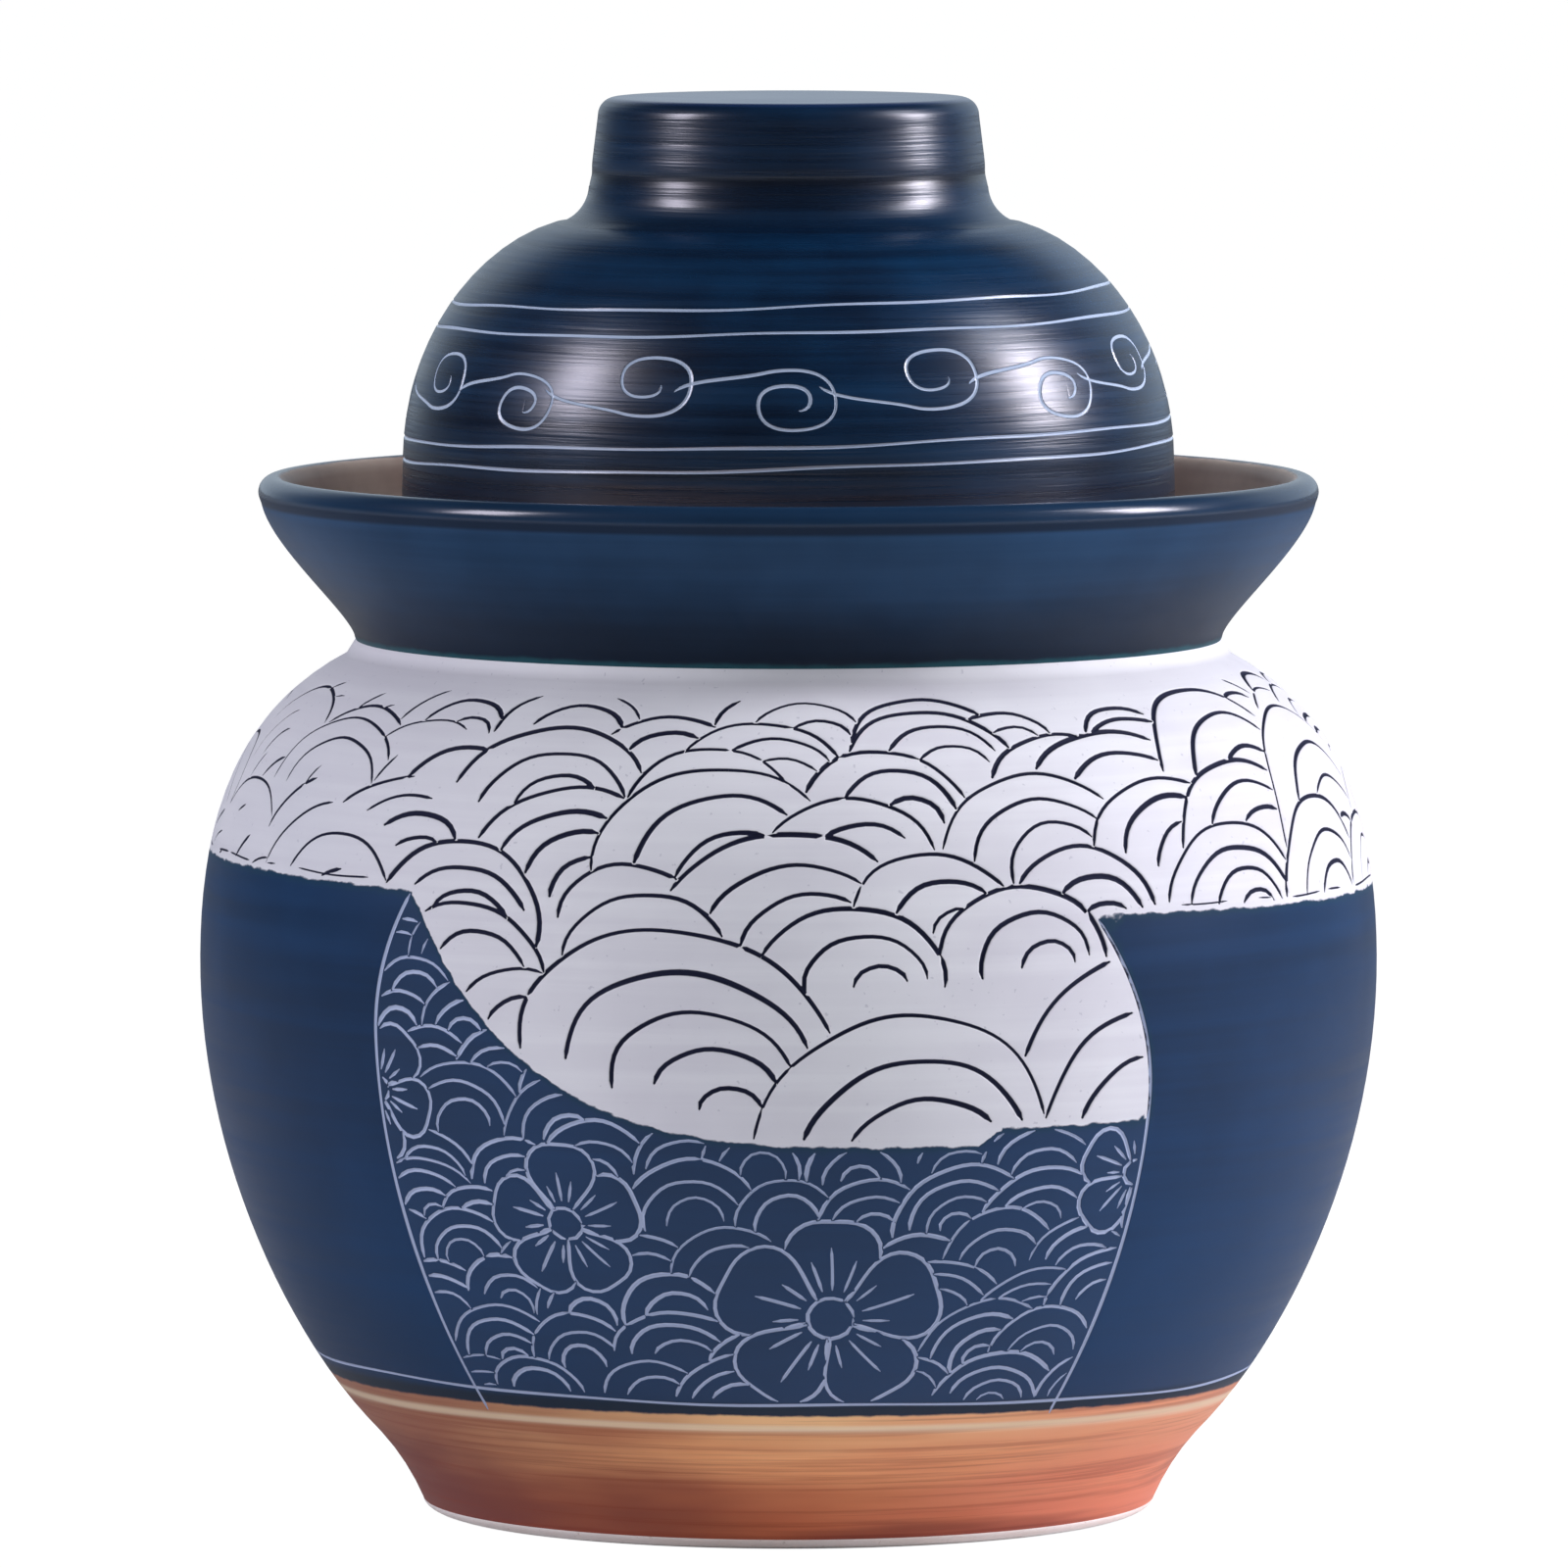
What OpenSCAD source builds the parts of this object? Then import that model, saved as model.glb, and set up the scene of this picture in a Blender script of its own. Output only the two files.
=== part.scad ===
// Water seal pickle jar: a thrown stoneware jar with a water trough round its mouth,
// a domed outer lid that stands in the trough and a small inner lid in the mouth.
// Millimetres, +Z up, standing on the ground at the origin.

/* [Body] */
// Greatest diameter of the body, at its belly
belly_d = 236.6; // [230:0.2:246]
// Height of the belly above the ground
belly_z = 110.5; // [104:0.5:116]
// Diameter of the sharp corner where the wall meets the foot
base_d = 147.2; // [138:0.2:156]
// Thickness of the thrown wall
wall = 7; // [5:0.5:8.5]
// Thickness of the floor
floor_t = 9; // [6:0.5:14]
// Height of the bare clay foot ring
foot_h = 2.2; // [1.6:0.2:4]
// Width of the ring that stands on the ground
foot_w = 12; // [8:1:18]

/* [Mouth] */
// Outer diameter of the upright wall round the mouth
mouth_d = 122; // [118:0.5:124]
// Thickness of that wall
mouth_wall = 6; // [5:0.5:7]
// Height of the mouth above the ground
mouth_z = 214; // [210:0.5:216]

/* [Water trough] */
// Diameter of the narrow ring where the trough is joined to the shoulder
joint_d = 173.4; // [170:0.2:178]
// Height of that joint
joint_z = 174; // [172:0.5:176]
// Greatest diameter of the trough, at its rim
trough_d = 212.8; // [208:0.2:220]
// Height of the rim
trough_z = 208.2; // [205:0.2:211]
// Thickness of the trough's wall, also the width of its round rim
trough_wall = 6.4; // [5:0.2:7]
// Height of the trough's floor above the joint
trough_floor = 10; // [8:0.5:12]

/* [Outer lid] */
// Outer diameter of the lid
lid_d = 154.8; // [152:0.2:158]
// Thickness of the lid's wall
lid_wall = 5.5; // [4:0.5:6]
// Height at which the upright side turns into the dome
dome_z = 211; // [208:0.5:214]
// Height of the crown, where the knob stands on the dome
crown_z = 258.8; // [256:0.2:262]

/* [Knob] */
// Diameter of the knob
knob_d = 80; // [74:1:86]
// Height of the knob's top above the ground
knob_z = 284; // [280:0.5:292]
// Radius of the fillet that runs out from the knob onto the dome
knob_fillet = 7; // [4:0.5:8]
// Radius of the knob's rounded top edge
knob_edge = 4.5; // [2:0.5:5]

/* [Inner lid] */
// Diameter of the inner lid
inner_lid_d = 120; // [117:0.5:122]
// Thickness of the inner lid at its edge
inner_lid_t = 5; // [4:0.5:6]
// Depth of the ring that keeps the inner lid in the mouth
plug_h = 8; // [5:0.5:12]
// Clearance all round between that ring and the mouth
plug_gap = 1.5; // [1:0.1:2.5]
// Diameter of the inner lid's button
button_d = 26; // [20:1:32]
// Height of that button
button_h = 13; // [10:0.5:16]

/* [Hidden] */

round_fn = 96;
long_steps = 16;
short_steps = 6;

belly_r = belly_d / 2;
base_r = base_d / 2;
// The wall flares out from the base corner to this ring before it swells
flare_r = base_r + 10.8;
flare_z = foot_h + 16;
joint_r = joint_d / 2;
mouth_r = mouth_d / 2;
mouth_bore_r = mouth_r - mouth_wall;
trough_r = trough_d / 2;
rim_r = trough_wall / 2;
lid_r = lid_d / 2;
knob_r = knob_d / 2;
inner_lid_r = inner_lid_d / 2;
button_r = button_d / 2;

floor_z = foot_h + floor_t;
seat_z = joint_z + 4;
trough_floor_z = joint_z + trough_floor;
inner_lid_z = mouth_z + inner_lid_t;
inner_crown_z = inner_lid_z + 4;
// The rim of the lid flares by this much where it stands on the trough's floor
lid_flare = 0.6;
// The knob and its hollow share one wall thickness with the lid
knob_bore_r = knob_r - lid_wall - 0.5;
knob_taper = 1.8;

// A cubic curve from p to s that leaves towards q and arrives from r
function curve(p, q, r, s, steps) = [
  for (i = [0:steps])
    let (t = i / steps, u = 1 - t)
    u ^ 3 * p + 3 * u ^ 2 * t * q + 3 * u * t ^ 2 * r + t ^ 3 * s
];

// An arc of radius r about c, from angle a to angle b
function arc(c, r, a, b, steps) = [
  for (i = [0:steps])
    let (g = a + (b - a) * i / steps)
    c + r * [cos(g), sin(g)]
];

// The points of a path moved to its left by t
function inset(path, t) = [
  for (i = [0:len(path) - 1])
    let (
      d = path[min(i + 1, len(path) - 1)] - path[max(i - 1, 0)],
      n = [-d.y, d.x] / norm(d)
    )
    path[i] + t * n
];

function backwards(path) = [for (i = [len(path) - 1:-1:0]) path[i]];

function after_first(path) = [for (i = [1:len(path) - 1]) path[i]];

// Outline of the body from the base corner, out to the belly and in to the joint
body_outline = concat(
  curve(
    [base_r, foot_h], [base_r + 3.1, foot_h + 7.2],
    [flare_r - 3.8, flare_z - 3.9], [flare_r, flare_z], short_steps
  ),
  after_first(curve(
    [flare_r, flare_z], [flare_r + 14, flare_z + 14.5],
    [belly_r, belly_z - 42], [belly_r, belly_z], long_steps
  )),
  after_first(curve(
    [belly_r, belly_z], [belly_r, belly_z + 30],
    [belly_r - 8, joint_z - 13.7], [joint_r + 0.6, joint_z - 2.5], long_steps
  )),
  [[joint_r, joint_z]]
);

// Inside of the body, kept above the floor and outside the mouth
body_inside = [
  for (p = inset(body_outline, wall))
    if (p.y > floor_z + 2 && p.y < seat_z - wall - 3 && p.x > mouth_bore_r) p
];

// Outside of the trough from the joint to its rim
trough_outline = concat(
  [[joint_r, joint_z]],
  curve(
    [joint_r, joint_z + 1], [joint_r - 1.4, joint_z + 5],
    [trough_r - 1.6, joint_z + 20.5], [trough_r, trough_z - rim_r], long_steps
  )
);

// Round rim of the trough, from its outer side over the top to the inner side
trough_rim = arc([trough_r - rim_r, trough_z - rim_r], rim_r, 15, 165, long_steps);

// Inner side of the trough, curving into its flat floor
trough_inside = curve(
  [trough_r - 2 * rim_r - 0.3, trough_z - rim_r - 2],
  [trough_r - 2 * rim_r - 3, trough_floor_z + 10],
  [joint_r + 3, trough_floor_z + 1],
  [joint_r - 3.4, trough_floor_z], long_steps
);

// Outside of the lid from its rim to the crown under the knob
dome_outline = concat(
  [[lid_r + lid_flare, trough_floor_z], [lid_r + lid_flare, trough_floor_z + 3]],
  curve(
    [lid_r, dome_z], [lid_r, crown_z - 23],
    [lid_r - 15, crown_z - 3.4], [knob_r + knob_fillet, crown_z], long_steps
  )
);

module thrown(outline) {
  rotate_extrude($fn = round_fn)
    polygon(outline);
}

// The globe, thrown in one piece with a flat seat for the mouth wall and the trough
module jar_body() {
  color([0.16, 0.22, 0.34])
    thrown(concat(
      [[0, foot_h]],
      body_outline,
      [[mouth_r, seat_z], [mouth_bore_r, seat_z], [mouth_bore_r, seat_z - wall]],
      backwards(body_inside),
      [[body_inside[0].x - 5, floor_z], [0, floor_z]]
    ));
}

// The bare ring that the jar stands on, turned in at its lower edge
module foot_ring() {
  color([0.86, 0.83, 0.79])
    thrown([
      [base_r - foot_w - 3, foot_h], [base_r - foot_w, 0],
      [base_r - 3.4, 0], [base_r, foot_h]
    ]);
}

// The upright wall round the mouth, with a flat lip for the inner lid
module mouth_wall_ring() {
  lip = 2;
  color([0.46, 0.33, 0.24])
    thrown(concat(
      [[mouth_bore_r, seat_z], [mouth_r, seat_z]],
      arc([mouth_r - lip, mouth_z - lip], lip, 0, 90, short_steps),
      arc([mouth_bore_r + lip, mouth_z - lip], lip, 90, 180, short_steps)
    ));
}

// The trough, thrown as a flared collar and joined to the shoulder round the mouth wall
module water_trough() {
  color([0.14, 0.2, 0.3])
    thrown(concat(
      [[mouth_r, seat_z]],
      trough_outline,
      trough_rim,
      trough_inside,
      [[mouth_r, trough_floor_z]]
    ));
}

// The lid, thrown as a bowl and turned over, open at its crown into the hollow knob
module lid_dome() {
  dome_inside = [
    for (p = inset(dome_outline, lid_wall))
      if (p.y > trough_floor_z + 4 && p.y < crown_z - lid_wall - 0.6) p
  ];
  color([0.07, 0.13, 0.24])
    thrown(concat(
      dome_outline,
      [[knob_bore_r, crown_z], [knob_bore_r, crown_z - lid_wall]],
      backwards(dome_inside),
      [[lid_r - lid_wall, trough_floor_z]]
    ));
}

// The knob, a hollow cap with a flat top that is joined to the crown by a fillet
module lid_knob() {
  top_r = knob_r - knob_taper;
  color([0.09, 0.16, 0.28])
    thrown(concat(
      [[knob_bore_r, crown_z]],
      arc(
        [knob_r + knob_fillet, crown_z + knob_fillet], knob_fillet,
        270, 180, long_steps / 2
      ),
      [[knob_r - knob_taper / 3, (crown_z + knob_fillet + knob_z) / 2]],
      arc([top_r - knob_edge, knob_z - knob_edge], knob_edge, 5, 90, short_steps),
      [[0, knob_z], [0, knob_z - lid_wall]],
      arc(
        [knob_bore_r - knob_taper - 4, knob_z - lid_wall - 4], 4,
        90, 0, short_steps
      )
    ));
}

// The inner lid, a low disc that lies on the lip, with a ring that reaches into the mouth
module inner_lid() {
  plug_r = mouth_bore_r - plug_gap;
  edge = inner_lid_t / 2;
  color([0.5, 0.34, 0.24])
    thrown(concat(
      [[0, mouth_z], [plug_r - 7, mouth_z], [plug_r - 6, mouth_z - plug_h]],
      [[plug_r - 1, mouth_z - plug_h], [plug_r, mouth_z - plug_h + 2], [plug_r, mouth_z]],
      arc([inner_lid_r - edge, mouth_z + edge], edge, -90, 90, short_steps * 2),
      curve(
        [inner_lid_r - 10, inner_lid_z], [inner_lid_r - 24, inner_lid_z + 1],
        [button_r + 12, inner_crown_z], [button_r, inner_crown_z], long_steps / 2
      ),
      [[0, inner_crown_z]]
    ));
}

// The button that lifts the inner lid, narrow at its foot and wider at the top
module inner_lid_button() {
  neck = button_r - 4;
  edge = 3;
  top_z = inner_crown_z + button_h;
  color([0.45, 0.3, 0.22])
    thrown(concat(
      [[0, inner_crown_z], [button_r - 1, inner_crown_z]],
      [[neck, inner_crown_z + 3], [neck, top_z - 2 * edge - 2]],
      arc([button_r - edge, top_z - edge], edge, -60, 90, short_steps * 2),
      [[0, top_z]]
    ));
}

jar_body();
foot_ring();
mouth_wall_ring();
water_trough();
lid_dome();
lid_knob();
inner_lid();
inner_lid_button();
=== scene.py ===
import math
import random

import bpy
import numpy as np
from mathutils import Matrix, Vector
from mathutils.geometry import delaunay_2d_cdt
from mathutils.kdtree import KDTree


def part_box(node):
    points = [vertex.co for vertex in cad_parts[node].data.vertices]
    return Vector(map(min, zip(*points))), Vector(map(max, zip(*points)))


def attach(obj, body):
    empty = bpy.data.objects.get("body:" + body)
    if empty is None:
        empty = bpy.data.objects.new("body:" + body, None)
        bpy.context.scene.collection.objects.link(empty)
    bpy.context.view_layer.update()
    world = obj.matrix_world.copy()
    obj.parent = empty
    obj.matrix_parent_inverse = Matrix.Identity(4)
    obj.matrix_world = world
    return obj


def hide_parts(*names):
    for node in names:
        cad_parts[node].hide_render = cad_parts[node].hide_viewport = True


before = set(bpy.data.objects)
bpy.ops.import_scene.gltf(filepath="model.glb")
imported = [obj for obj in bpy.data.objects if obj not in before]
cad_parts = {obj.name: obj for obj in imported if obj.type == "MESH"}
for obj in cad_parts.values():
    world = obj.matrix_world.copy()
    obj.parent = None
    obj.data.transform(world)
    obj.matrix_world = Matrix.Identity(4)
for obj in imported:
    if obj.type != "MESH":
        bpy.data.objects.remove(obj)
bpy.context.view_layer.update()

# The camera
# A long lens a little above the shoulder of the jar, level enough that the rims
# show as thin ellipses.
camera_distance = 3.3
camera_height = 0.41
aim_height = 0.1459
frame_width = 0.3152
sensor = 36.0

camera = bpy.data.objects.new("camera", bpy.data.cameras.new("camera"))
bpy.context.scene.collection.objects.link(camera)
bpy.context.scene.camera = camera
aim = Vector((-0.0009, 0, aim_height))
camera.location = aim + Vector((0, -camera_distance, camera_height - aim_height))
camera.rotation_euler = (aim - camera.location).to_track_quat("-Z", "Y").to_euler()
camera.data.sensor_width = sensor
camera.data.lens = sensor * (aim - camera.location).length / frame_width
camera.data.clip_start = 0.1
camera.data.clip_end = 100

# The body
# A globe thrown in stoneware. Its shoulder is brushed with white slip and its belly
# with navy, and waves and blossoms are cut through both before it is glazed.
MM = 0.001
ROUND = 180


def curve(p, q, r, s, steps=40):
    """A cubic curve from p to s, which leaves towards q and arrives from r."""
    t = np.linspace(0, 1, steps + 1)[:, None]
    p, q, r, s = (np.array(point, float) for point in (p, q, r, s))
    return (1 - t) ** 3 * p + 3 * (1 - t) ** 2 * t * q + 3 * (1 - t) * t**2 * r + t**3 * s


def join(*paths):
    """One outline in metres from paths in millimetres, without doubled points."""
    points = np.vstack([np.array(path, float).reshape(-1, 2) for path in paths])
    apart = np.hypot(*np.diff(points, axis=0).T) > 0.01
    return points[np.concatenate([[True], apart])] * MM


def arc(centre, radius, start, end, steps=10):
    """Points on a circle from one angle to another, in degrees."""
    angle = np.radians(np.linspace(start, end, steps + 1))
    return np.array(centre) + radius * np.stack([np.cos(angle), np.sin(angle)], 1)


def inset(path, depth):
    """The points of a path moved to its left."""
    step = np.gradient(path, axis=0)
    step /= np.hypot(*step.T)[:, None]
    return path + depth * np.stack([-step[:, 1], step[:, 0]], 1)


def turned(angle, by=0.0):
    """An angle brought to between minus and plus half a turn."""
    return (np.asarray(angle) - by + math.pi) % (2 * math.pi) - math.pi


class Wall:
    """An outline of radii and heights that is run round the axis of the jar.

    A place on it is an angle, zero at the front and growing to the right, and the
    way up the outline, both as arrays.
    """

    def __init__(self, outline):
        self.r, self.z = outline.T
        step = np.hypot(np.diff(self.r), np.diff(self.z))
        self.way = np.concatenate([[0], np.cumsum(step)])
        middle = (self.r[1:] + self.r[:-1]) / 2
        self.log = np.concatenate([[0], np.cumsum(step / middle)])
        self.lean = np.gradient(outline, self.way, axis=0)

    def radius(self, way):
        return np.interp(way, self.way, self.r)

    def height(self, way):
        return np.interp(way, self.way, self.z)

    def way_at(self, height):
        """The way up the outline to a height, where the outline only rises."""
        return np.interp(height, self.z, self.way)

    def spot(self, angle, height):
        """A place on the wall at an angle and a height."""
        return angle, float(self.way_at(height))

    def flat(self, angle, way):
        """The wall laid out as a disc, in which every angle keeps its size."""
        spread = np.exp(np.interp(way, self.way, self.log))
        return spread * np.cos(angle), spread * np.sin(angle)

    def unflat(self, x, y):
        way = np.interp(np.log(np.hypot(x, y)), self.log, self.way)
        return np.arctan2(y, x), way

    def normal(self, angle, way):
        out = np.interp(way, self.way, self.lean[:, 1])
        up = -np.interp(way, self.way, self.lean[:, 0])
        size = np.hypot(out, up)
        return np.stack([out * np.sin(angle), -out * np.cos(angle), up], -1) / size[..., None]

    def place(self, angle, way, depth=0.0):
        """Points of the wall, sunk by a depth."""
        r = self.radius(way)
        on = np.stack([r * np.sin(angle), -r * np.cos(angle), self.height(way)], -1)
        return on - np.asarray(depth)[..., None] * self.normal(angle, way)

    def even(self, line, step, ends=0.0):
        """A line with its points spread evenly, and how far along it each one lies."""
        metric = self.radius(line[:, 1])
        metric = (metric[1:] + metric[:-1]) / 2
        length = np.hypot(np.diff(line[:, 0]) * metric, np.diff(line[:, 1]))
        along = np.concatenate([[0], np.cumsum(length)])
        count = max(2, round(along[-1] / step) + 1)
        at = np.linspace(0, along[-1], count)
        if ends:
            at = np.concatenate([[0, ends], at[1:-1], [along[-1] - ends, along[-1]]])
        return np.stack([np.interp(at, along, line[:, i]) for i in (0, 1)], 1), at

    def around(self, centre, points):
        """Places given by sideways and upward distances from a centre on the wall."""
        way = centre[1] + points[:, 1]
        return np.stack([centre[0] + points[:, 0] / self.radius(way), way], 1)

    def distances(self, centre, line):
        """Sideways and upward distances of a line's points from a centre."""
        turn = turned(line[:, 0], centre[0])
        return np.stack([turn * self.radius(line[:, 1]), line[:, 1] - centre[1]], 1)


def keep_runs(line, kept, least=4):
    """The stretches of a line whose points are kept."""
    runs, start = [], None
    for i, good in enumerate(list(kept) + [False]):
        if good and start is None:
            start = i
        if not good and start is not None:
            if i - start >= least:
                runs.append(line[start:i])
            start = None
    return runs


class Cut:
    """One line drawn with a needle: where it runs, how wide and deep it is."""

    def __init__(self, line, width, depth, closed=False, taper=1.2 * MM):
        self.line, self.width, self.depth = line, width, depth
        self.closed, self.taper = closed, taper


def cut_runs(line, kept, width, depth):
    """Cuts along the stretches of a line whose points are kept."""
    return [Cut(run, width, depth) for run in keep_runs(line, kept)]


class Sheet:
    """Collects the points and edges of a wall that is laid flat and triangulated."""

    shortest, end_step, sample_step = 1.2 * MM, 0.35 * MM, 0.2 * MM
    net_margin, least_half = 1.1 * MM, 0.12 * MM

    def __init__(self, wall):
        self.wall, self.angle, self.way, self.depth, self.cut = wall, [], [], [], []
        self.edges = []
        self.samples = []

    def add(self, angle, way, depth=0.0, cut=0.0):
        """Adds points and returns their numbers."""
        start = len(self.angle)
        count = len(angle)
        self.angle.extend(angle)
        self.way.extend(way)
        self.depth.extend(np.broadcast_to(depth, count))
        self.cut.extend(np.broadcast_to(cut, count))
        return list(range(start, start + count))

    def chain(self, index, closed=False):
        """Joins points by edges that the triangles have to keep."""
        self.edges += list(zip(index, index[1:]))
        if closed:
            self.edges.append((index[-1], index[0]))

    def groove(self, cut, step):
        """Lays the two edges and the bottom of a groove along a cut."""
        wall = self.wall
        line, along = wall.even(cut.line, step, 0 if cut.closed else self.end_step)
        length = along[-1]
        if length < self.shortest:
            return
        if cut.closed:
            line, along = line[:-1], along[:-1]
            turn = turned(np.roll(line[:, 0], -1) - np.roll(line[:, 0], 1))
            climb = np.roll(line[:, 1], -1) - np.roll(line[:, 1], 1)
            full = np.ones(len(line))
        else:
            turn, climb = np.gradient(line[:, 0]), np.gradient(line[:, 1])
            reach = min(cut.taper, length / 3)
            full = np.clip(along / reach, 0, 1) ** 0.5
            full = full * np.clip((length - along) / (reach * 1.4), 0, 1) ** 0.5
        r = wall.radius(line[:, 1])
        run = np.stack([turn * r, climb], 1)
        run /= np.hypot(*run.T)[:, None]
        pressed = full * (1 + 0.14 * np.sin(along / (9 * MM) + line[0, 0] * 40))
        half = cut.width / 2 * pressed
        side = np.stack([-run[:, 1] / r, run[:, 0]], 1) * half[:, None]
        inner = slice(None) if cut.closed else slice(1, -1)
        bottom = self.add(line[:, 0], line[:, 1], cut.depth * pressed, np.minimum(pressed * 1.2, 1))
        if not cut.closed:
            for end in (bottom[0], bottom[-1]):
                self.depth[end] = 0
                self.cut[end] = 0
        for way in (-1, 1):
            edge = line + way * side
            index = self.add(edge[inner, 0], edge[inner, 1])
            if not cut.closed:
                index = [bottom[0]] + index + [bottom[-1]]
            self.chain(index, cut.closed)
        self.chain(bottom, cut.closed)
        fine, place = wall.even(line, self.sample_step)
        wide = np.interp(place, along, half)
        self.samples.append((wall.place(fine[:, 0], fine[:, 1]), wide, cut.depth))

    def mesh_data(self, spacing):
        """Triangulates the sheet, with a loose net of points between the grooves."""
        wall = self.wall
        spots = np.vstack([spot for spot, _, _ in self.samples])
        halves = np.concatenate([half for _, half, _ in self.samples])
        deeps = np.concatenate([np.full(len(half), deep) for _, half, deep in self.samples])
        near = KDTree(len(spots))
        for i, spot in enumerate(spots):
            near.insert(spot, i)
        near.balance()
        total = wall.way[-1]
        turn = np.arange(ROUND) * 2 * math.pi / ROUND
        rings = []
        for way in (0, total):
            rings.append(self.add(turn, np.full(ROUND, way)))
            self.chain(rings[-1], True)
        rows = max(2, round(total / spacing))
        for row in range(1, rows):
            way = total * row / rows
            count = max(24, round(2 * math.pi * float(wall.radius(way)) / spacing))
            angle = (np.arange(count) + 0.5 * (row % 2)) * 2 * math.pi / count
            net = wall.place(angle, np.full(count, way))
            clear = [near.find(spot)[2] > self.net_margin for spot in net]
            self.add(angle[clear], np.full(sum(clear), way))
        own_angle, own_way = np.array(self.angle), np.array(self.way)
        own_depth, own_cut = np.array(self.depth), np.array(self.cut)
        flat = np.stack(wall.flat(own_angle, own_way), 1)
        done = delaunay_2d_cdt([Vector(p) for p in flat], self.edges, [], 0, 1e-8, True)
        flat = np.array([tuple(p) for p in done[0]])
        faces, origin = np.array(done[2]), done[3]
        angle, way = wall.unflat(flat[:, 0], flat[:, 1])
        depth, cut = np.zeros(len(flat)), np.zeros(len(flat))
        place = {}
        for i, sources in enumerate(origin):
            for j in sources:
                place[j] = i
                depth[i] = max(depth[i], own_depth[j])
                cut[i] = max(cut[i], own_cut[j])
        for i in np.nonzero(cut < 0.99)[0]:
            _, which, gap = near.find(wall.place(angle[i], way[i]))
            if halves[which] > self.least_half and gap < halves[which] * 0.9:
                share = 1 - gap / halves[which]
                depth[i] = max(depth[i], deeps[which] * share)
                cut[i] = max(cut[i], share)
        order = [[place[j] for j in ring] for ring in rings]
        angle[order[0]] = angle[order[1]] = turn
        way[order[0]], way[order[1]] = 0, total
        hole = np.isin(faces, order[0]).all(axis=1)
        return angle, way, depth, cut, faces[~hole], order


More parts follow.
